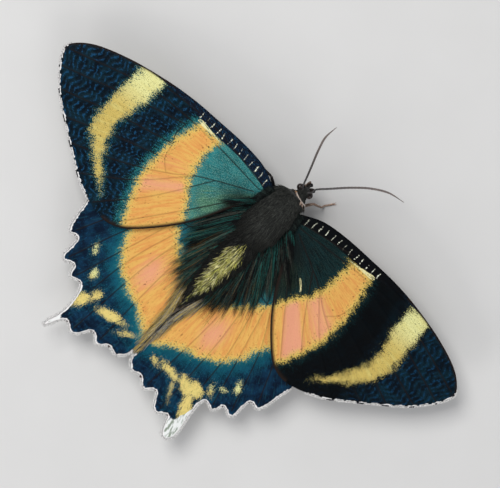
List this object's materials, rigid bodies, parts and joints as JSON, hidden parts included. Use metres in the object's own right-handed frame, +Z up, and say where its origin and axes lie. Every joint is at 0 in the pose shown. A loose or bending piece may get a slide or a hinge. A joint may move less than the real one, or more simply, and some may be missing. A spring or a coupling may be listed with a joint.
{
  "type": "north queensland day moth",
  "caption": "Life-size still model of a North Queensland day moth, wings spread flat, tailed hindwings, standing on its feet.",
  "frame": {"origin": "on the floor under the middle of the moth's box, between its wing tips and between feeler tips and tails", "axes": "+X towards the moth's left wing tip, -Y towards its head, +Z up"},
  "size_m": [0.1004, 0.0676, 0.0221],
  "materials": {
    "wing": "satin",
    "fur": "matte",
    "horn": "satin",
    "eye": "gloss"
  },
  "bodies": {
    "root": {"head": "fur", "thorax": "fur", "abdomen": "fur", "eye_left": "eye", "eye_right": "eye", "antenna_left": "horn", "antenna_right": "horn", "palp_left": "fur", "palp_right": "fur", "proboscis": "horn", "leg_fore_left": "horn", "leg_fore_right": "horn", "leg_mid_left": "horn", "leg_mid_right": "horn", "leg_hind_left": "horn", "leg_hind_right": "horn", "forewing_left": "wing", "forewing_right": "wing", "hindwing_left": "wing", "hindwing_right": "wing"}
  },
  "joints": []
}
